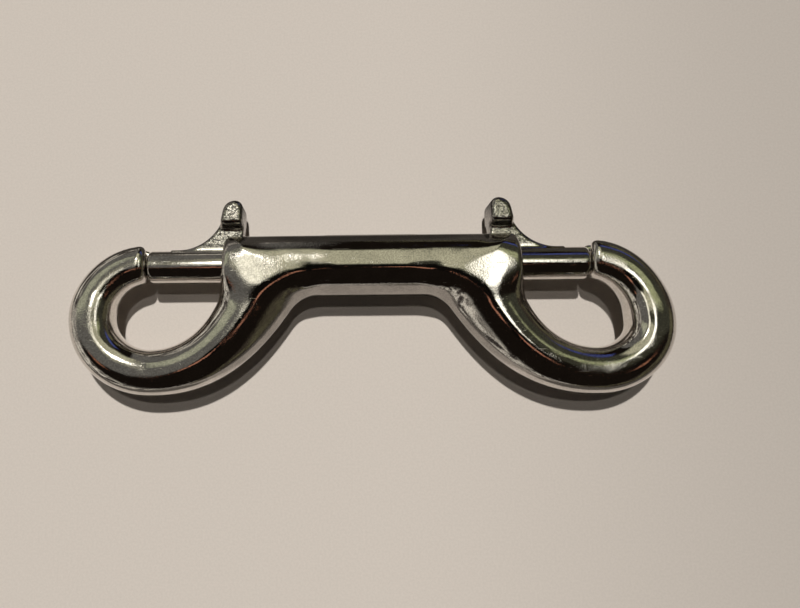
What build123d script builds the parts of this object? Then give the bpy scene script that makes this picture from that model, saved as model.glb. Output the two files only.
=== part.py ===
"""Double ended snap hook: one cast body with a hook at each end, two sliding bolts with thumb
levers, and the spring between them that holds both hooks shut.

Millimetres. X runs along the bolts, Y from the hooks towards the thumb levers, and Z is up. The
snap lies on its side with the barrel on Z = 0, and the origin is at the bottom centre of its box.
"""

import os
from math import cos, radians, sin, sqrt

from build123d import *

# Barrel
barrel_length = 48.6  # mouth to mouth
barrel_radius = 5.15
mouth_fillet = 1.1

# Hooks: offsets run outwards from a mouth, depths run down from the barrel's axis
nose_gaps = {"left": 13.1, "right": 11.8}  # mouth to nose face: the right hook is bent further
hook_reaches = {"left": 26.2, "right": 25.2}  # mouth to the outside of the bend
nose_lifts = {"left": 0.45, "right": 0.65}  # how far the nose stands above the bolt's axis
bend_depths = {"left": 8.7, "right": 10.1}  # where the rod's middle line is furthest out
bend_offset = 12.3  # where it is lowest
hook_depth = 21.6  # axis to the outside of the bend
root_offset = 7.6  # how far behind the mouth the root is centred
root_depth = 1.2
root_angle = 63  # degrees between the barrel and the rod's middle line
root_handle = 6.4  # how strongly the middle line holds that angle
bend_handle = 12.2  # how strongly it runs level into the bend
round_handle = 0.5523  # makes a quarter of an ellipse
rod_width = 7.6  # in the plane of the hooks
rod_thickness = 7.8  # across that plane
root_width = 13.0
root_thickness = 9.8
root_taper = 1.3  # how quickly the root narrows to the rod
nose_taper = 2.0  # how quickly the rod narrows to the nose
nose_diameter = 6.6
nose_chamfer = 0.6

# Bolts: lengths run back from the tip, heights run up from the axis
bolt_radius = 2.75
bolt_clearance = 0.08  # radial, in the bore
bolt_length = 21.0
tip_chamfer = 0.7
tail_chamfer = 0.4
tip_clearance = 0.03  # from the tip to the nose face at rest
open_offset = 1.0  # how far the tip stands outside the mouth when drawn back
spigot_length = 2.0  # the tail's pin, which centres the spring

# Thumb levers
web_thickness = 3.0
web_clearance = 0.15  # at each side, in the slot
web_start = 5.0  # where the web's hollow edge leaves the bolt
web_radius = 8.0  # of that edge
knob_start = 12.3
knob_end = 16.1
knob_foot = 6.1  # height of the knob's underside at the web
knob_rim = 6.9  # height of the underside's outer edge
knob_height = 10.8
knob_slant = 0.8  # how far the outer side leans in towards the top
knob_depth = 6.3
knob_outer_fillet = 1.4
knob_inner_fillet = 1.1
knob_edge_fillet = 0.4
slot_end_clearance = 0.6

# Spring
wire_radius = 0.3
spring_clearance = 0.38  # radial, in the bore
spigot_clearance = 0.25  # radial, between the coil and the pin on a bolt's tail
spring_turns = 10
spring_end_gap = 0.05

# Places that follow from the sizes
sides = {"left": -1, "right": 1}
axis_x = (hook_reaches["left"] - hook_reaches["right"]) / 2
axis_y = (hook_depth - knob_height) / 2
axis_z = barrel_radius
half_barrel = barrel_length / 2
bore_radius = bolt_radius + bolt_clearance
spring_radius = bore_radius - spring_clearance - wire_radius
spigot_radius = spring_radius - wire_radius - spigot_clearance
slot_width = web_thickness + 2 * web_clearance
slot_length = knob_end - open_offset + slot_end_clearance + slot_width / 2


def at(name, offset, depth):
    """A point in the plane of the hooks, from the mouth at that side."""
    return Vector(axis_x + sides[name] * (half_barrel + offset), axis_y - depth, axis_z)


def across(name, offset):
    """The plane square to the bolts at an offset from a mouth, facing outwards."""
    return Plane(at(name, offset, 0), x_dir=(0, 1, 0), z_dir=(sides[name], 0, 0))


def blend(start, end, share):
    return start + (end - start) * share


def rod_stations(name):
    """(plane, half width, half thickness) of the rod's sections from its root to its nose."""
    low = hook_depth - rod_width / 2
    out = hook_reaches[name] - rod_width / 2
    nose = nose_gaps[name]
    lift = nose_lifts[name]
    bend_depth = bend_depths[name]
    root_to_bend = Bezier(
        at(name, -root_offset, root_depth),
        at(
            name,
            root_handle * cos(radians(root_angle)) - root_offset,
            root_handle * sin(radians(root_angle)) + root_depth,
        ),
        at(name, bend_offset - bend_handle, low),
        at(name, bend_offset, low),
    )
    round_bend = Bezier(
        at(name, bend_offset, low),
        at(name, blend(bend_offset, out, round_handle), low),
        at(name, out, blend(bend_depth, low, round_handle)),
        at(name, out, bend_depth),
    )
    bend_to_nose = Bezier(
        at(name, out, bend_depth),
        at(name, out, blend(bend_depth, -lift, round_handle)),
        at(name, blend(nose, out, round_handle), -lift),
        at(name, nose, -lift),
    )
    stations = []
    for share in (0, 0.2, 0.4, 0.6, 0.8):
        left_over = (1 - share) ** root_taper
        half_width = blend(rod_width, root_width, left_over) / 2
        half_thickness = blend(rod_thickness, root_thickness, left_over) / 2
        stations.append((root_to_bend, share, half_width, half_thickness))
    for share in (0, 0.33, 0.67):
        stations.append((round_bend, share, rod_width / 2, rod_thickness / 2))
    for share in (0, 0.33, 0.67, 1):
        left_over = (1 - share) ** nose_taper
        half_width = blend(nose_diameter, rod_width, left_over) / 2
        half_thickness = blend(nose_diameter, rod_thickness, left_over) / 2
        stations.append((bend_to_nose, share, half_width, half_thickness))
    return [
        (Plane(line @ share, x_dir=(line % share).cross(Vector(0, 0, 1)), z_dir=line % share), w, t)
        for line, share, w, t in stations
    ]


with BuildPart() as body:
    with BuildSketch(Plane((axis_x, axis_y, axis_z), x_dir=(0, 1, 0), z_dir=(1, 0, 0))):
        Circle(barrel_radius)
    extrude(amount=half_barrel, both=True)
    fillet(body.edges().filter_by(GeomType.CIRCLE), mouth_fillet)
    for name in sides:
        for plane, half_width, half_thickness in rod_stations(name):
            with BuildSketch(plane):
                Ellipse(half_width, half_thickness)
        loft()
    for name in sides:
        nose_middle = at(name, nose_gaps[name], -nose_lifts[name])
        with BuildSketch(Plane(nose_middle, x_dir=(sides[name], 0, 0))):
            with BuildLine():
                Polyline(
                    (-nose_chamfer, nose_diameter / 2 - 2 * nose_chamfer),
                    (nose_chamfer, nose_diameter / 2),
                    (nose_chamfer, nose_diameter),
                    (-nose_chamfer, nose_diameter),
                    close=True,
                )
            make_face()
        revolve(axis=Axis(nose_middle, (1, 0, 0)), mode=Mode.SUBTRACT)
        with BuildSketch(across(name, open_offset)):
            Circle(bore_radius)
        extrude(amount=-half_barrel - 2 * open_offset, mode=Mode.SUBTRACT)
        with BuildSketch(Plane(at(name, 0, 0), x_dir=(-sides[name], 0, 0), z_dir=(0, 1, 0))):
            with Locations((slot_length / 2 - slot_width / 2, 0)):
                SlotOverall(slot_length + slot_width, slot_width)
        extrude(amount=2 * barrel_radius, mode=Mode.SUBTRACT)
    body.part.label = "body"


tip = at("left", nose_gaps["left"] - tip_clearance, 0)
lever_plane = Plane(tip, x_dir=(1, 0, 0), z_dir=(0, 0, 1))


with BuildPart() as knob:
    with BuildSketch(lever_plane):
        with BuildLine():
            Polyline(
                (knob_start, knob_foot),
                (knob_end, knob_foot),
                (knob_end, knob_height),
                (knob_start + knob_slant, knob_height),
                (knob_start, knob_rim),
                close=True,
            )
        make_face()
    extrude(amount=knob_depth / 2, both=True)
    top_edges = knob.faces().sort_by(Axis.Y)[-1].edges().filter_by(Axis.Z).sort_by(Axis.X)
    fillet(top_edges[0], knob_outer_fillet)
    top_edges = knob.faces().sort_by(Axis.Y)[-1].edges().filter_by(Axis.Z).sort_by(Axis.X)
    fillet(top_edges[-1], knob_inner_fillet)
    with BuildSketch(Plane(tip, x_dir=(0, 1, 0), z_dir=(1, 0, 0))):
        with BuildLine():
            Polyline(
                (knob_foot, -web_thickness / 2),
                (knob_foot, web_thickness / 2),
                (knob_rim, knob_depth / 2),
                (knob_height + 1, knob_depth / 2),
                (knob_height + 1, -knob_depth / 2),
                (knob_rim, -knob_depth / 2),
                close=True,
            )
        make_face()
    extrude(amount=knob_end + 1, mode=Mode.INTERSECT)
    flats = knob.faces().sort_by(Axis.Z)
    fillet(flats[0].edges() + flats[-1].edges(), knob_edge_fillet)


with BuildPart() as bolt_left:
    with BuildSketch(Plane(tip, x_dir=(0, 1, 0), z_dir=(1, 0, 0))):
        Circle(bolt_radius)
    extrude(amount=bolt_length)
    chamfer(bolt_left.edges().sort_by(Axis.X)[0], tip_chamfer)
    chamfer(bolt_left.edges().sort_by(Axis.X)[-1], tail_chamfer)
    with BuildSketch(Plane(tip, x_dir=(0, 1, 0), z_dir=(1, 0, 0))):
        Circle(spigot_radius)
    extrude(amount=bolt_length + spigot_length)
    with BuildSketch(lever_plane):
        with BuildLine():
            edge_rise = web_radius - sqrt(web_radius**2 - (knob_start - web_start) ** 2)
            foot_corner = (knob_start, bolt_radius + edge_rise)
            hollow = TangentArc((web_start, bolt_radius), foot_corner, tangent=(1, 0))
            Line(hollow @ 1, (knob_end, bolt_radius + edge_rise))
            Line((knob_end, bolt_radius + edge_rise), (knob_end, 0))
            Line((knob_end, 0), (web_start, 0))
            Line((web_start, 0), (web_start, bolt_radius))
        make_face()
    extrude(amount=web_thickness / 2, both=True)
    add(knob.part)
    bolt_left.part.label = "bolt_left"


with BuildPart() as bolt_right:
    mirrored = mirror(bolt_left.part, about=Plane.YZ, mode=Mode.PRIVATE)
    with Locations((2 * axis_x + nose_gaps["right"] - nose_gaps["left"], 0, 0)):
        add(mirrored)
    bolt_right.part.label = "bolt_right"


with BuildPart() as spring:
    left_seat = at("left", nose_gaps["left"] - tip_clearance - bolt_length, 0).X
    right_seat = at("right", nose_gaps["right"] - tip_clearance - bolt_length, 0).X
    clear_end = wire_radius + spring_end_gap
    spring_length = right_seat - left_seat - 2 * clear_end
    with BuildLine() as coil:
        Helix(
            pitch=spring_length / spring_turns,
            height=spring_length,
            radius=spring_radius,
            center=(left_seat + clear_end, axis_y, axis_z),
            direction=(1, 0, 0),
        )
    with BuildSketch(Plane(coil.line @ 0, z_dir=coil.line % 0)):
        Circle(wire_radius)
    sweep(is_frenet=True)
    spring.part.label = "spring"


os.makedirs("parts", exist_ok=True)
export_step(body.part, "parts/body.step")
export_step(bolt_left.part, "parts/bolt_left.step")
export_step(bolt_right.part, "parts/bolt_right.step")
export_step(spring.part, "parts/spring.step")
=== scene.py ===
"""Looks for the double ended snap hook: camera, light, floor and a mesh for each piece."""

import math

import bpy
import numpy as np
from mathutils import Euler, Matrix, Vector


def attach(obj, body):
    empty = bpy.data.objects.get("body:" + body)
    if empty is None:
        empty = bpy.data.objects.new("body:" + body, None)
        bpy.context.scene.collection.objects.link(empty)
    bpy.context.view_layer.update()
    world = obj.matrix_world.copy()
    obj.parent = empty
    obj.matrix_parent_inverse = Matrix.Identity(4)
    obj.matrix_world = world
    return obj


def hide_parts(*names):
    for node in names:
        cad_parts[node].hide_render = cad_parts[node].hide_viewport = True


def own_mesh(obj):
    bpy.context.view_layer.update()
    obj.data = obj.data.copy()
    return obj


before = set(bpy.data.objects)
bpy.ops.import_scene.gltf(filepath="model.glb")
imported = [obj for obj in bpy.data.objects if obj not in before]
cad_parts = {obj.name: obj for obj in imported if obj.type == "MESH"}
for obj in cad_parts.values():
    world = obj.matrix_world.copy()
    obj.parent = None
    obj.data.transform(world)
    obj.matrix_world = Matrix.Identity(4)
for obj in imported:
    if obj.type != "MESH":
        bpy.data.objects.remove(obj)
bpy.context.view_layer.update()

# Sizes in millimetres, as in the CAD.
# The modelling frame has its origin on the bolts' axis, at mid barrel.
MM = 0.001
SIDES = {"left": -1, "right": 1}
BARREL_HALF = 24.3
BARREL_RADIUS = 5.15
MOUTH_FILLET = 1.1
NOSE_GAPS = {"left": 13.1, "right": 11.8}
HOOK_REACHES = {"left": 26.2, "right": 25.2}
NOSE_LIFTS = {"left": 0.45, "right": 0.65}
BEND_DEPTHS = {"left": 8.7, "right": 10.1}
BEND_OFFSET = 12.3
HOOK_DEPTH = 21.6
ROOT_OFFSET = 7.6
ROOT_DEPTH = 1.2
ROOT_ANGLE = math.radians(63)
ROOT_HANDLE = 6.4
BEND_HANDLE = 12.2
ROUND_HANDLE = 0.5523
ROD_WIDTH = 7.6
ROD_THICKNESS = 7.8
ROOT_WIDTH = 13.0
ROOT_THICKNESS = 10.2
ROOT_TAPER = 1.3
ROOT_SLOPE = 0.55  # how far the root thins towards its outer side
ROOT_BULGE = 0.6  # how much longer the root stays thick
NOSE_TAPER = 2.0
NOSE_EASE = 0.35  # share of the last curve over which the taper sets in
NOSE_DIAMETER = 6.6
NOSE_BLEND = 1.5
SECTION_POWER = 2.45  # 2 is an ellipse, more is squarer
BORE_RADIUS = 2.83
BORE_START = 1.0
SLOT_WIDTH = 3.3
SLOT_LENGTH = 17.35
BOLT_RADIUS = 2.75
BOLT_LENGTH = 21.0
TIP_CLEARANCE = 0.03
SPIGOT_RADIUS = 1.6
SPIGOT_LENGTH = 2.0
WEB_THICKNESS = 3.0
WEB_START = 5.0
WEB_RADIUS = 8.0
KNOB_START = 12.3
KNOB_END = 16.1
KNOB_FOOT = 6.1
KNOB_RIM = 6.9
KNOB_HEIGHT = 10.8
KNOB_SLANT = 0.8
KNOB_DEPTH = 6.3
WIRE_RADIUS = 0.3
SPRING_RADIUS = 2.15
SPRING_TURNS = 10
SPRING_CLEAR = 0.35
BODY_STEP = 0.3  # size of the mesh's cells
BOLT_STEP = 0.15
LINE_STEPS = 25  # stations on each curve of the rod's middle line
CHUNK = 20000  # points measured at a time
SPRING_RINGS = 260
SPRING_SIDES = 14

# Rounding where two shapes meet
ROOT_BLEND = 2.6
ROOT_BLEND_GAIN = 1.0  # added towards the barrel's top and bottom
BORE_EDGE = 0.5
SLOT_EDGE = 0.4
TIP_ROUND = 0.8
TAIL_ROUND = 0.5
SPIGOT_ROUND = 0.4
WEB_ROUND = 0.7
KNOB_FRONT_ROUND = 1.9
KNOB_BACK_ROUND = 1.5
KNOB_SIDE_ROUND = 0.8

AXIS = np.array([0.5, 5.4, 5.15])  # the modelling frame's origin, as the CAD places it


# Meshes from distance functions


def smooth_max(a, b, blend):
    return np.maximum(a, b) + np.maximum(blend - np.abs(a - b), 0) ** 2 / (4 * blend)


def smooth_min(a, b, blend):
    return np.minimum(a, b) - np.maximum(blend - np.abs(a - b), 0) ** 2 / (4 * blend)


def surface_net(distance, low_corner, high_corner, step):
    """Quads around the places where a distance function changes sign, pulled onto its zero."""
    axes = [np.arange(a, b + step, step) for a, b in zip(low_corner, high_corner)]
    field = distance(*np.meshgrid(*axes, indexing="ij", sparse=True))
    shape = np.array(field.shape)
    cells = int(np.prod(shape))
    sums = np.zeros((3, cells))
    counts = np.zeros(cells)
    faces = []
    for axis in range(3):
        start = field[tuple(slice(0, -1) if i == axis else slice(None) for i in range(3))]
        end = field[tuple(slice(1, None) if i == axis else slice(None) for i in range(3))]
        edges = np.argwhere((start < 0) != (end < 0))
        first = start[tuple(edges.T)]
        last = end[tuple(edges.T)]
        places = edges.astype(float)
        places[:, axis] += first / (first - last)
        one, two = np.zeros(3, int), np.zeros(3, int)
        one[(axis + 1) % 3] = 1
        two[(axis + 2) % 3] = 1
        around = [edges, edges - one, edges - one - two, edges - two]
        corners = [np.ravel_multi_index(tuple(cell.T), tuple(shape)) for cell in around]
        for corner in corners:
            counts += np.bincount(corner, minlength=cells)
            for i in range(3):
                sums[i] += np.bincount(corner, weights=places[:, i], minlength=cells)
        quads = np.stack(corners, axis=1)
        flip = first >= 0
        quads[flip] = quads[flip][:, ::-1]
        faces.append(quads)
    used = np.flatnonzero(counts)
    numbers = np.zeros(cells, int)
    numbers[used] = np.arange(len(used))
    points = (sums[:, used] / counts[used]).T * step + np.array(low_corner)
    return pull(distance, points, step), numbers[np.concatenate(faces)]


def pull(distance, points, step):
    """Moves points onto the zero of a distance function."""
    nudge = 0.01
    for _ in range(3):
        value = distance(*points.T)
        slope = np.empty_like(points)
        for i in range(3):
            shift = np.zeros(3)
            shift[i] = nudge
            ahead, behind = distance(*(points + shift).T), distance(*(points - shift).T)
            slope[:, i] = (ahead - behind) / (2 * nudge)
        size = np.maximum((slope**2).sum(axis=1), 0.25)
        move = slope * (value / size)[:, None]
        length = np.linalg.norm(move, axis=1)
        move *= np.minimum(1, 0.4 * step / np.maximum(length, 1e-9))[:, None]
        points = points - move
    return points


def add_object(name, data):
    item = bpy.data.objects.new(name, data)
    bpy.context.scene.collection.objects.link(item)
    return item


def mesh_piece(name, points, quads, material):
    mesh = bpy.data.meshes.new(name)
    mesh.from_pydata(((points + AXIS) * MM).tolist(), [], quads.tolist())
    mesh.update()
    mesh.shade_smooth()
    mesh.materials.append(material)
    return add_object(name, mesh)


# Body


def at(name, offset, depth):
    return (SIDES[name] * (BARREL_HALF + offset), -depth)


def rod_lines(name):
    """The rod's middle line as three Bezier curves: root to bend, round the bend, bend to nose."""
    low_line = HOOK_DEPTH - ROD_WIDTH / 2
    out = HOOK_REACHES[name] - ROD_WIDTH / 2
    nose = NOSE_GAPS[name]
    lift = NOSE_LIFTS[name]
    bend = BEND_DEPTHS[name]
    root_run = ROOT_HANDLE * math.cos(ROOT_ANGLE)
    root_fall = ROOT_HANDLE * math.sin(ROOT_ANGLE)
    low_handle = BEND_OFFSET + (out - BEND_OFFSET) * ROUND_HANDLE
    nose_handle = nose + (out - nose) * ROUND_HANDLE
    return np.array(
        [
            [
                at(name, -ROOT_OFFSET, ROOT_DEPTH),
                at(name, root_run - ROOT_OFFSET, root_fall + ROOT_DEPTH),
                at(name, BEND_OFFSET - BEND_HANDLE, low_line),
                at(name, BEND_OFFSET, low_line),
            ],
            [
                at(name, BEND_OFFSET, low_line),
                at(name, low_handle, low_line),
                at(name, out, bend + (low_line - bend) * ROUND_HANDLE),
                at(name, out, bend),
            ],
            [
                at(name, out, bend),
                at(name, out, bend - (bend + lift) * ROUND_HANDLE),
                at(name, nose_handle, -lift),
                at(name, nose, -lift),
            ],
        ]
    )


def bezier(points, share):
    """Places, first and second derivatives on curves of four points each."""
    a, b, c, d = (points[..., i, :] for i in range(4))
    t = share[..., None]
    rest = 1 - t
    place = rest**3 * a + 3 * rest**2 * t * b + 3 * rest * t**2 * c + t**3 * d
    slope = 3 * (rest**2 * (b - a) + 2 * rest * t * (c - b) + t**2 * (d - c))
    turn = 6 * (rest * (c - 2 * b + a) + t * (d - 2 * c + b))
    return place, slope, turn


def rod_section(name, x, y):
    """Where points lie in the rod.

    Gives the offset across it, its half width and half thickness there, and the distances before
    its root and beyond its nose.
    """
    lines = rod_lines(name)
    steps = np.linspace(0, 1, LINE_STEPS)
    stations = np.concatenate([bezier(line[None], steps)[0] for line in lines])
    spots = np.stack([x, y], axis=-1)
    nearest = np.empty(len(spots), int)
    for start in range(0, len(spots), CHUNK):
        chunk = spots[start : start + CHUNK]
        aside, along = (chunk[:, None, i] - stations[None, :, i] for i in range(2))
        nearest[start : start + CHUNK] = (aside**2 + along**2).argmin(axis=1)
    line = nearest // len(steps)
    share = steps[nearest % len(steps)]
    points = lines[line]
    for _ in range(4):
        place, slope, turn = bezier(points, share)
        gap = spots - place
        bend = (slope**2).sum(axis=1) - (gap * turn).sum(axis=1)
        share = np.clip(share + (gap * slope).sum(axis=1) / np.maximum(bend, 1), 0, 1)
    place, slope, _ = bezier(points, share)
    gap = spots - place
    along = slope / np.linalg.norm(slope, axis=1)[:, None]
    offset = gap[:, 0] * -along[:, 1] + gap[:, 1] * along[:, 0]
    before = np.where((line == 0) & (share == 0), -(gap * along).sum(axis=1), -99.0)
    root_share = np.where(line == 0, (1 - share) ** ROOT_TAPER, 0)
    ease = np.clip(share / NOSE_EASE, 0, 1)
    nose_share = (1 - (1 - share) ** NOSE_TAPER) * ease * ease * (3 - 2 * ease)
    nose_share = np.where(line == 2, nose_share, 0)
    root_height = np.where(line == 0, (1 - share) * (1 + ROOT_BULGE * share * (1 - share)), 0)
    width = (
        ROD_WIDTH
        + (ROOT_WIDTH - ROD_WIDTH) * root_share
        + (NOSE_DIAMETER - ROD_WIDTH) * nose_share
    )
    thickness = (
        ROD_THICKNESS
        + (ROOT_THICKNESS - ROD_THICKNESS) * root_height
        + (NOSE_DIAMETER - ROD_THICKNESS) * nose_share
    )
    outward = np.clip(-SIDES[name] * offset / (width / 2), 0, 1)
    thickness = thickness * (1 - ROOT_SLOPE * np.minimum(root_height, 1) * outward**1.5)
    nose_plane = SIDES[name] * (BARREL_HALF + NOSE_GAPS[name])
    beyond = np.where(line == 2, SIDES[name] * (nose_plane - x), -99.0)
    return offset, width / 2, thickness / 2, before, beyond


def rod_distance(name, x, y, z):
    spread_x, spread_y = np.broadcast_arrays(x, y)
    parts = rod_section(name, spread_x.ravel(), spread_y.ravel())
    offset, width, thickness, before, beyond = (part.reshape(spread_x.shape) for part in parts)
    power = SECTION_POWER
    u = np.abs(offset / width)
    v = np.abs(z / thickness)
    level = np.maximum((u**power + v**power) ** (1 / power), 1e-6)
    slope = level ** (1 - power) * np.hypot(u ** (power - 1) / width, v ** (power - 1) / thickness)
    inside = (level - 1) / np.maximum(slope, 0.12)
    inside = np.maximum(inside, before)
    return smooth_max(inside, beyond, NOSE_BLEND)


def body_distance(x, y, z):
    ring = np.hypot(y, z)
    side = ring - BARREL_RADIUS + MOUTH_FILLET
    end = np.abs(x) - BARREL_HALF + MOUTH_FILLET
    outer = np.hypot(np.maximum(side, 0), np.maximum(end, 0)) + np.minimum(np.maximum(side, end), 0)
    solid = outer - MOUTH_FILLET
    height = np.clip(np.abs(z) / BARREL_RADIUS, 0, 1)
    blend = ROOT_BLEND + ROOT_BLEND_GAIN * height * height * (3 - 2 * height)
    for name in SIDES:
        solid = smooth_min(solid, rod_distance(name, x, y, z), blend)
    near_root = np.clip((np.abs(x) - 6) / 4, 0, 1)
    crown = np.abs(z) - BARREL_RADIUS
    capped = smooth_max(solid, crown + 0.1 * (1 - near_root), 0.05 + 0.5 * near_root)
    solid = np.maximum(capped, crown)
    bore = np.maximum(ring - BORE_RADIUS, np.abs(x) - BARREL_HALF - BORE_START)
    solid = smooth_max(solid, -bore, BORE_EDGE)
    slot_middle = BARREL_HALF - SLOT_LENGTH + SLOT_WIDTH / 2
    slot = np.hypot(np.minimum(np.abs(x) - slot_middle, 0), z) - SLOT_WIDTH / 2
    slot = np.maximum(slot, -y)
    return smooth_max(solid, -slot, SLOT_EDGE)


def make_body(material):
    reach = BARREL_HALF + max(HOOK_REACHES.values())
    corner = (-reach - 1, -HOOK_DEPTH - 1, -BARREL_RADIUS - 0.8)
    other = (reach + 1, BARREL_RADIUS + 1, BARREL_RADIUS + 0.8)
    points, quads = surface_net(body_distance, corner, other, BODY_STEP)
    piece = mesh_piece("cast_body", points, quads, material)
    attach(piece, "frame")
    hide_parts("body")


# Bolts


def bolt_distance(back, height, z):
    """Distance to a bolt with its lever: back runs from the tip, height from the axis."""
    ring = np.hypot(height, z)
    side = ring - BOLT_RADIUS
    shaft = smooth_max(smooth_max(side, -back, TIP_ROUND), back - BOLT_LENGTH, TAIL_ROUND)
    spigot_end = back - BOLT_LENGTH - SPIGOT_LENGTH
    spigot = smooth_max(ring - SPIGOT_RADIUS, spigot_end, SPIGOT_ROUND)
    spigot = np.maximum(spigot, BOLT_LENGTH - 2 - back)
    shaft = smooth_min(shaft, spigot, 0.2)
    run = np.clip(back - WEB_START, 0, KNOB_START - WEB_START)
    edge = BOLT_RADIUS + WEB_RADIUS - np.sqrt(WEB_RADIUS**2 - run**2)
    edge_slope = run / np.sqrt(WEB_RADIUS**2 - run**2)
    edge_slope = np.where(back > KNOB_START, 0, edge_slope)
    crest = (height - edge) / np.hypot(1, edge_slope)
    crest = np.where(back > KNOB_START, height - KNOB_FOOT - 1, crest)
    web = smooth_max(np.abs(z) - WEB_THICKNESS / 2, crest, WEB_ROUND)
    web = smooth_max(web, back - KNOB_END, 0.5)
    web = np.maximum(web, np.maximum(-height, WEB_START - 1 - back))
    lean = KNOB_SLANT / (KNOB_HEIGHT - KNOB_RIM)
    front = (KNOB_START + lean * np.maximum(height - KNOB_RIM, 0) - back) / math.hypot(1, lean)
    depth = KNOB_DEPTH / 2
    rise = KNOB_RIM - KNOB_FOOT
    spread = depth - WEB_THICKNESS / 2
    size = math.hypot(rise, spread)
    under = ((KNOB_FOOT - height) * spread + (np.abs(z) - WEB_THICKNESS / 2) * rise) / size
    knob = smooth_max(front, height - KNOB_HEIGHT, KNOB_FRONT_ROUND)
    rear = smooth_max(back - KNOB_END, height - KNOB_HEIGHT, KNOB_BACK_ROUND)
    knob = smooth_max(knob, rear, 0.01)
    knob = smooth_max(knob, smooth_max(np.abs(z) - depth, under, 0.5), KNOB_SIDE_ROUND)
    lever = smooth_min(web, knob, 0.35)
    return smooth_min(shaft, lever, 0.3)


def make_bolt(name, material):
    sign = SIDES[name]
    tip = BARREL_HALF + NOSE_GAPS[name] - TIP_CLEARANCE
    corner = (-0.5, -BOLT_RADIUS - 0.5, -KNOB_DEPTH / 2 - 0.5)
    other = (BOLT_LENGTH + SPIGOT_LENGTH + 0.5, KNOB_HEIGHT + 0.5, KNOB_DEPTH / 2 + 0.5)
    points, quads = surface_net(bolt_distance, corner, other, BOLT_STEP)
    points[:, 0] = sign * (tip - points[:, 0])
    if sign > 0:
        quads = quads[:, ::-1]
    piece = mesh_piece("sliding_bolt_" + name, points, quads, material)
    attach(piece, "bolt_" + name)
    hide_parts("bolt_" + name)


# Spring


def make_spring_half(name, material):
    """Half of the helix as a tube, between the two bolts' tails where they rest."""
    left_seat = -BARREL_HALF - NOSE_GAPS["left"] + TIP_CLEARANCE + BOLT_LENGTH
    right_seat = BARREL_HALF + NOSE_GAPS["right"] - TIP_CLEARANCE - BOLT_LENGTH
    start, end = left_seat + SPRING_CLEAR, right_seat - SPRING_CLEAR
    rings, sides = SPRING_RINGS, SPRING_SIDES
    share = np.linspace(0, 0.5, rings) + (0.5 if name == "right" else 0)
    turn = share * SPRING_TURNS * 2 * math.pi
    pitch = (end - start) / (SPRING_TURNS * 2 * math.pi)
    level, rise = SPRING_RADIUS * np.cos(turn), SPRING_RADIUS * np.sin(turn)
    centre = np.stack([start + share * (end - start), level, rise], axis=1)
    along = np.stack([np.full(rings, pitch), -rise, level], axis=1)
    along /= np.linalg.norm(along, axis=1)[:, None]
    outward = np.stack([np.zeros(rings), np.cos(turn), np.sin(turn)], axis=1)
    third = np.cross(along, outward)
    angle = np.linspace(0, 2 * math.pi, sides, endpoint=False)
    rim = np.cos(angle)[None, :, None] * outward[:, None]
    rim = rim + np.sin(angle)[None, :, None] * third[:, None]
    points = (centre[:, None] + WIRE_RADIUS * rim).reshape(-1, 3)
    ring = np.arange(rings - 1)[:, None] * sides
    one = np.arange(sides)[None]
    two = (one + 1) % sides
    quads = np.stack([ring + one, ring + two, ring + sides + two, ring + sides + one], axis=2)
    quads = quads.reshape(-1, 4)
    piece = mesh_piece("spring_" + name, points, quads, material)
    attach(piece, "frame")
    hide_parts("spring")
    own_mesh(piece)


# Materials

# Features per metre
WORN_SCALE = 130
BLOTCH_SCALE = 420
PEEL_SCALE = 700
CAST_SCALE = 3000
PIT_SCALE = 3400
SPECK_SCALE = 4600
GRAIN_SCALE = 5200
SCRATCH_STRETCH = (220, 6500, 6500)
DRAWN_STRETCH = (120, 4000, 4000)
FLECK_SCALE = 2600

CAST_BUMP = 0.05
DRAWN_BUMP = 0.012


def new_material(name):
    material = bpy.data.materials.new(name)
    material.use_nodes = True
    nodes = material.node_tree.nodes
    return material, nodes, material.node_tree.links, nodes["Principled BSDF"]


def add_noise(nodes, links, place, scale, detail=3.0, stretch=None, turn=None):
    """Noise in object space; scale is in features per metre."""
    noise = nodes.new("ShaderNodeTexNoise")
    noise.inputs["Scale"].default_value = scale
    noise.inputs["Detail"].default_value = detail
    source = place.outputs["Object"]
    if stretch:
        mapping = nodes.new("ShaderNodeMapping")
        mapping.inputs["Scale"].default_value = stretch
        mapping.inputs["Rotation"].default_value = turn or (0, 0, 0)
        links.new(source, mapping.inputs["Vector"])
        source = mapping.outputs["Vector"]
    links.new(source, noise.inputs["Vector"])
    return noise.outputs["Fac"]


def add_range(nodes, links, value, start, end, low_value, high_value):
    step = nodes.new("ShaderNodeMapRange")
    step.interpolation_type = "SMOOTHSTEP"
    links.new(value, step.inputs["Value"])
    step.inputs["From Min"].default_value = start
    step.inputs["From Max"].default_value = end
    step.inputs["To Min"].default_value = low_value
    step.inputs["To Max"].default_value = high_value
    return step.outputs["Result"]


def add_math(nodes, links, operation, a, b):
    node = nodes.new("ShaderNodeMath")
    node.operation = operation
    for i, value in enumerate((a, b)):
        if isinstance(value, (int, float)):
            node.inputs[i].default_value = value
        else:
            links.new(value, node.inputs[i])
    return node.outputs[0]


def add_mix(nodes, links, factor, *colours):
    """Blend of two colours, each given as a tuple or a socket."""
    mix = nodes.new("ShaderNodeMix")
    mix.data_type = "RGBA"
    links.new(factor, mix.inputs["Factor"])
    for key, colour in zip("AB", colours):
        if isinstance(colour, tuple):
            mix.inputs[key].default_value = (*colour, 1)
        else:
            links.new(colour, mix.inputs[key])
    return mix.outputs["Result"]


def add_scaled(nodes, links, colour, scale):
    """A colour, given as a tuple or a socket, times a value."""
    node = nodes.new("ShaderNodeVectorMath")
    node.operation = "SCALE"
    if isinstance(colour, tuple):
        node.inputs[0].default_value = colour
    else:
        links.new(colour, node.inputs[0])
    links.new(scale, node.inputs["Scale"])
    return node.outputs["Vector"]


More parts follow.
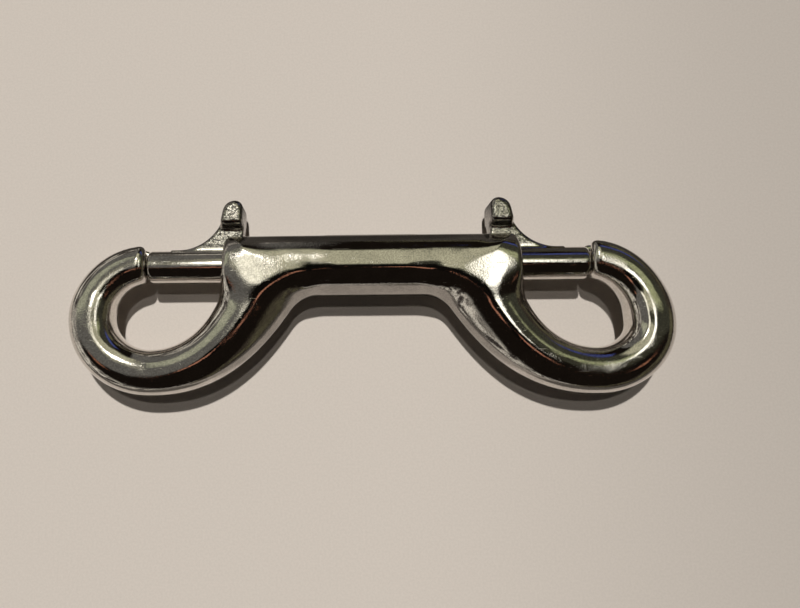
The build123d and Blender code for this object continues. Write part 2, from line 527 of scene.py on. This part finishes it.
def add_bump(nodes, links, height, distance, normal=None):
    bump = nodes.new("ShaderNodeBump")
    bump.inputs["Distance"].default_value = distance
    links.new(height, bump.inputs["Height"])
    if normal:
        links.new(normal, bump.inputs["Normal"])
    return bump.outputs["Normal"]


def make_steel(name, colour, roughness, peel, grain, scratch, cast_above=None):
    """Polished cast steel: orange peel, patches of fine grain, and handling scratches."""
    material, nodes, links, shader = new_material(name)
    place = nodes.new("ShaderNodeTexCoord")
    shader.inputs["Metallic"].default_value = 1.0
    patches = add_noise(nodes, links, place, WORN_SCALE, 2)
    worn = add_range(nodes, links, patches, 0.42, 0.62, 0.2, 1)
    blotch = add_noise(nodes, links, place, BLOTCH_SCALE, 4)
    blotched = add_range(nodes, links, blotch, 0.35, 0.7, 0, 1)
    dark = tuple(c * 0.86 for c in colour)
    steel = add_mix(nodes, links, blotched, dark, colour)
    speck = add_noise(nodes, links, place, SPECK_SCALE, 2)
    speck = add_range(nodes, links, speck, 0.36, 0.64, 0.86, 1.10)
    steel = add_scaled(nodes, links, steel, speck)
    lines = add_noise(nodes, links, place, 1.0, 2, SCRATCH_STRETCH, (0, 0, 0.6))
    line_mask = add_range(nodes, links, lines, 0.68, 0.74, 0, 1)
    rough = add_range(nodes, links, blotch, 0.3, 0.75, roughness * 0.7, roughness * 1.6)
    line_rough = add_math(nodes, links, "MULTIPLY", line_mask, 0.08)
    rough = add_math(nodes, links, "ADD", rough, line_rough)
    fine = add_noise(nodes, links, place, GRAIN_SCALE, 2)
    fine = add_math(nodes, links, "MULTIPLY", fine, worn)
    normal = add_bump(nodes, links, add_noise(nodes, links, place, PEEL_SCALE, 2), peel * MM)
    normal = add_bump(nodes, links, fine, grain * MM, normal)
    normal = add_bump(nodes, links, line_mask, scratch * MM, normal)
    if cast_above:
        split = nodes.new("ShaderNodeSeparateXYZ")
        links.new(place.outputs["Object"], split.inputs["Vector"])
        start, end = cast_above * MM, (cast_above + 0.5) * MM
        lever = add_range(nodes, links, split.outputs["Y"], start, end, 0, 1)
        rough_cast = add_noise(nodes, links, place, CAST_SCALE, 4)
        rough_cast = add_math(nodes, links, "MULTIPLY", rough_cast, lever)
        normal = add_bump(nodes, links, rough_cast, CAST_BUMP * MM, normal)
        drawn = add_noise(nodes, links, place, 1.0, 2, DRAWN_STRETCH)
        normal = add_bump(nodes, links, drawn, DRAWN_BUMP * MM, normal)
        pit = add_noise(nodes, links, place, PIT_SCALE, 3)
        pit = add_range(nodes, links, pit, 0.36, 0.62, 0.2, 0.8)
        steel = add_mix(nodes, links, lever, steel, add_scaled(nodes, links, colour, pit))
        lever_rough = add_math(nodes, links, "MULTIPLY", lever, 0.1)
        rough = add_math(nodes, links, "ADD", rough, lever_rough)
    links.new(steel, shader.inputs["Base Color"])
    links.new(rough, shader.inputs["Roughness"])
    links.new(normal, shader.inputs["Normal"])
    return material


# Surroundings

FLOOR_HALF = 1.5  # metres
FLOOR_DARK = (0.615, 0.555, 0.500)
FLOOR_PALE = (0.650, 0.587, 0.530)

# The room as the metal reflects it. Angles in degrees from straight up: tilt towards +Y and lean
# towards +X, each as where a patch starts, is full, begins to fade and ends.
ROOM_DARK = (0.011, 0.008, 0.006)
ROOM_PATCHES = [
    ((-2, 4, 44, 56), (-75, -60, 60, 75), (0.06, 0.06, 0.042)),
    ((-14, -7, 75, 95), (-62, -45, -12, -6), (0.17, 0.165, 0.15)),
    ((6, 9, 42, 52), (-18, -10, 9, 15), (0.62, 0.605, 0.43)),
    ((9, 13, 30, 36), (-60, -48, -24, -17), (0.50, 0.51, 0.38)),
    ((11, 14, 20, 25), (12, 16, 30, 38), (0.50, 0.53, 0.30)),
    ((48, 53, 60, 66), (20, 27, 70, 80), (0.07, 0.09, 0.28)),
    ((1, 5, 24, 33), (-13, -11, -7, -4), (1.6, 1.56, 1.3)),
    ((-4, 1, 12, 18), (11, 13, 17, 19), (3.0, 2.95, 2.6)),
    ((14, 16, 23, 25), (-13, -11, -8, -6), (9.0, 8.8, 8.0)),
]
WARM_PATCHES = [  # the same on both sides
    ((-16, -14.5, -12, -10.5), (3, 6, 12, 15), (0.55, 0.25, 0.16)),
    ((-19, -17, -12, -9), (30, 33, 37, 40), (0.34, 0.15, 0.09)),
]
HEAD_TILT = -8
HEAD_ANGLES = (13, 11)
HEAD_COLOUR = (0.006, 0.005, 0.004)
TABLE_BAND = (-125, -100, -86, -80)
TABLE_COLOUR = (0.42, 0.385, 0.345)
SIDE_BANDS = [  # leans, dark colour, colour of its ripples
    ((-105, -92, -66, -48), (0.06, 0.05, 0.045), (0.85, 0.80, 0.70)),
    ((56, 64, 80, 90), (0.05, 0.04, 0.03), (0.13, 0.12, 0.07)),
]

IMAGE_WIDTH = 800
FOCAL_LENGTH = 683  # in the width's units
SENSOR_WIDTH = 36


def make_floor():
    mesh = bpy.data.meshes.new("floor")
    signs = ((-1, -1), (1, -1), (1, 1), (-1, 1))
    corners = [(x * FLOOR_HALF, y * FLOOR_HALF, 0) for x, y in signs]
    mesh.from_pydata(corners, [], [(0, 1, 2, 3)])
    floor = add_object("floor", mesh)
    material, nodes, links, shader = new_material("table_top")
    place = nodes.new("ShaderNodeTexCoord")
    fleck = add_noise(nodes, links, place, FLECK_SCALE, 3)
    flecked = add_range(nodes, links, fleck, 0.3, 0.7, 0, 1)
    colour = add_mix(nodes, links, flecked, FLOOR_DARK, FLOOR_PALE)
    split = nodes.new("ShaderNodeSeparateXYZ")
    links.new(place.outputs["Object"], split.inputs["Vector"])
    # Painted light falloff: the floor's colour darkens towards +X, from full at the middle to 0.79
    # at 85 mm.
    fall = add_range(nodes, links, split.outputs["X"], 0.0, 0.085, 1, 0.79)
    # Painted reflection: where the steel reflects the floor, its colour is scaled to 0.66, falls to
    # 0.07 beyond 13 to 19 mm in +Y, rises up to 1.75 times towards the sides in X, and drops again
    # at the sides beyond -28 mm in -Y.
    path = nodes.new("ShaderNodeLightPath")
    glossy = path.outputs["Is Glossy Ray"]
    painted_reflection_level = add_range(nodes, links, split.outputs["Y"], 0.013, 0.019, 0.66, 0.07)
    aside = add_math(nodes, links, "ABSOLUTE", split.outputs["X"], 0)
    aside = add_range(nodes, links, aside, 0.012, 0.025, 0, 1)
    below = add_range(nodes, links, split.outputs["Y"], -0.036, -0.028, 0.8, 0)
    below = add_math(nodes, links, "MULTIPLY", aside, below)
    above = add_math(nodes, links, "SUBTRACT", 1.0, below)
    painted_reflection_level = add_math(nodes, links, "MULTIPLY", painted_reflection_level, above)
    gain = add_range(nodes, links, aside, 0, 1, 1, 1.75)
    painted_reflection_level = add_math(nodes, links, "MULTIPLY", painted_reflection_level, gain)
    painted_reflection = nodes.new("ShaderNodeMix")
    links.new(glossy, painted_reflection.inputs["Factor"])
    painted_reflection.inputs["A"].default_value = 1
    links.new(painted_reflection_level, painted_reflection.inputs["B"])
    level = add_math(nodes, links, "MULTIPLY", fall, painted_reflection.outputs["Result"])
    links.new(add_scaled(nodes, links, colour, level), shader.inputs["Base Color"])
    shader.inputs["Roughness"].default_value = 0.8
    shader.inputs["Specular IOR Level"].default_value = 0.2
    mesh.materials.append(material)


def add_sun(name, tilt, heading, strength, size, colour):
    lamp = bpy.data.lights.new(name, "SUN")
    lamp.energy = strength
    lamp.angle = math.radians(size)
    lamp.color = colour
    item = add_object(name, lamp)
    tilt, heading = math.radians(tilt), math.radians(heading)
    aside = math.sin(tilt)
    direction = Vector((aside * math.sin(heading), aside * math.cos(heading), math.cos(tilt)))
    item.rotation_euler = direction.to_track_quat("Z", "Y").to_euler()
    item.visible_glossy = False


def make_world():
    world = bpy.data.worlds.new("room")
    bpy.context.scene.world = world
    world.use_nodes = True
    nodes, links = world.node_tree.nodes, world.node_tree.links
    nodes.clear()
    place = nodes.new("ShaderNodeTexCoord")
    split = nodes.new("ShaderNodeSeparateXYZ")
    links.new(place.outputs["Generated"], split.inputs["Vector"])
    x, y, z = split.outputs
    tilt = add_math(nodes, links, "ARCTAN2", y, z)
    lean = add_math(nodes, links, "ARCTAN2", x, z)

    def band(angle, start, full, fall, end):
        rise = add_range(nodes, links, angle, math.radians(start), math.radians(full), 0, 1)
        drop = add_range(nodes, links, angle, math.radians(fall), math.radians(end), 1, 0)
        return add_math(nodes, links, "MULTIPLY", rise, drop)

    def patch(tilts, leans):
        return add_math(nodes, links, "MULTIPLY", band(tilt, *tilts), band(lean, *leans))

    wave = nodes.new("ShaderNodeTexNoise")
    wave.inputs["Scale"].default_value = 5.0
    wave.inputs["Detail"].default_value = 3.0
    wave.inputs["Distortion"].default_value = 1.2
    links.new(place.outputs["Generated"], wave.inputs["Vector"])
    ripple = add_range(nodes, links, wave.outputs["Fac"], 0.44, 0.56, 0, 1)
    colour = ROOM_DARK
    for tilts, leans, glow in ROOM_PATCHES:
        colour = add_mix(nodes, links, patch(tilts, leans), colour, glow)
    centre = nodes.new("ShaderNodeVectorMath")
    centre.operation = "DOT_PRODUCT"
    links.new(place.outputs["Generated"], centre.inputs[0])
    head = math.radians(HEAD_TILT)
    centre.inputs[1].default_value = (0, math.sin(head), math.cos(head))
    near = [math.cos(math.radians(angle)) for angle in HEAD_ANGLES]
    shade = add_range(nodes, links, centre.outputs["Value"], *near, 0, 1)
    colour = add_mix(nodes, links, shade, colour, HEAD_COLOUR)
    middle = add_math(nodes, links, "ABSOLUTE", x, 0)
    middle = add_range(nodes, links, middle, 0.1, 0.3, 1, 0.1)
    table = add_math(nodes, links, "MULTIPLY", band(tilt, *TABLE_BAND), middle)
    colour = add_mix(nodes, links, table, colour, TABLE_COLOUR)
    for leans, dark, pale in SIDE_BANDS:
        wall = band(lean, *leans)
        colour = add_mix(nodes, links, wall, colour, dark)
        rippled = add_math(nodes, links, "MULTIPLY", wall, ripple)
        colour = add_mix(nodes, links, rippled, colour, pale)
    for sign in (-1, 1):
        for tilts, leans, glow in WARM_PATCHES:
            leans = sorted(sign * angle for angle in leans)
            colour = add_mix(nodes, links, patch(tilts, leans), colour, glow)
    seen = nodes.new("ShaderNodeBackground")
    links.new(colour, seen.inputs["Color"])
    fill = nodes.new("ShaderNodeBackground")
    fill.inputs["Color"].default_value = (0.95, 0.97, 1.0, 1)
    fill.inputs["Strength"].default_value = 0.016
    backdrop = nodes.new("ShaderNodeBackground")
    backdrop.inputs["Color"].default_value = (0.64, 0.58, 0.50, 1)
    path = nodes.new("ShaderNodeLightPath")
    first = nodes.new("ShaderNodeMixShader")
    second = nodes.new("ShaderNodeMixShader")
    output = nodes.new("ShaderNodeOutputWorld")
    links.new(path.outputs["Is Glossy Ray"], first.inputs["Fac"])
    links.new(fill.outputs[0], first.inputs[1])
    links.new(seen.outputs[0], first.inputs[2])
    links.new(path.outputs["Is Camera Ray"], second.inputs["Fac"])
    links.new(first.outputs[0], second.inputs[1])
    links.new(backdrop.outputs[0], second.inputs[2])
    links.new(second.outputs[0], output.inputs["Surface"])


def make_camera():
    camera = bpy.data.cameras.new("camera")
    camera.sensor_width = SENSOR_WIDTH
    camera.lens = FOCAL_LENGTH / IMAGE_WIDTH * SENSOR_WIDTH
    camera.shift_x = 0.1
    camera.clip_start = 0.01
    item = add_object("camera", camera)
    item.location = (-0.0048, -0.01623, 0.11846)
    item.rotation_euler = Euler((0.1325, 0.0287, -0.0054))
    bpy.context.scene.camera = item


STEEL = (0.61, 0.58, 0.545)
casting = make_steel("cast_steel", STEEL, roughness=0.045, peel=0.010, grain=0.018, scratch=0.003)
bolt_steel = make_steel(
    "bolt_steel",
    STEEL,
    roughness=0.06,
    peel=0.010,
    grain=0.012,
    scratch=0.003,
    cast_above=AXIS[1] + 2.9,  # the lever is left as cast
)
wire = make_steel(
    "spring_steel", (0.6, 0.6, 0.6), roughness=0.25, peel=0.001, grain=0.001, scratch=0.001
)
make_body(casting)
for side_name in SIDES:
    make_bolt(side_name, bolt_steel)
    make_spring_half(side_name, wire)
make_floor()
make_world()
add_sun("key", tilt=24.5, heading=-3, strength=2.9, size=2.0, colour=(1, 0.985, 0.95))
add_sun("second", tilt=12, heading=-3, strength=0.33, size=2.0, colour=(1, 0.96, 0.90))
make_camera()
bpy.context.scene.view_settings.view_transform = "Standard"
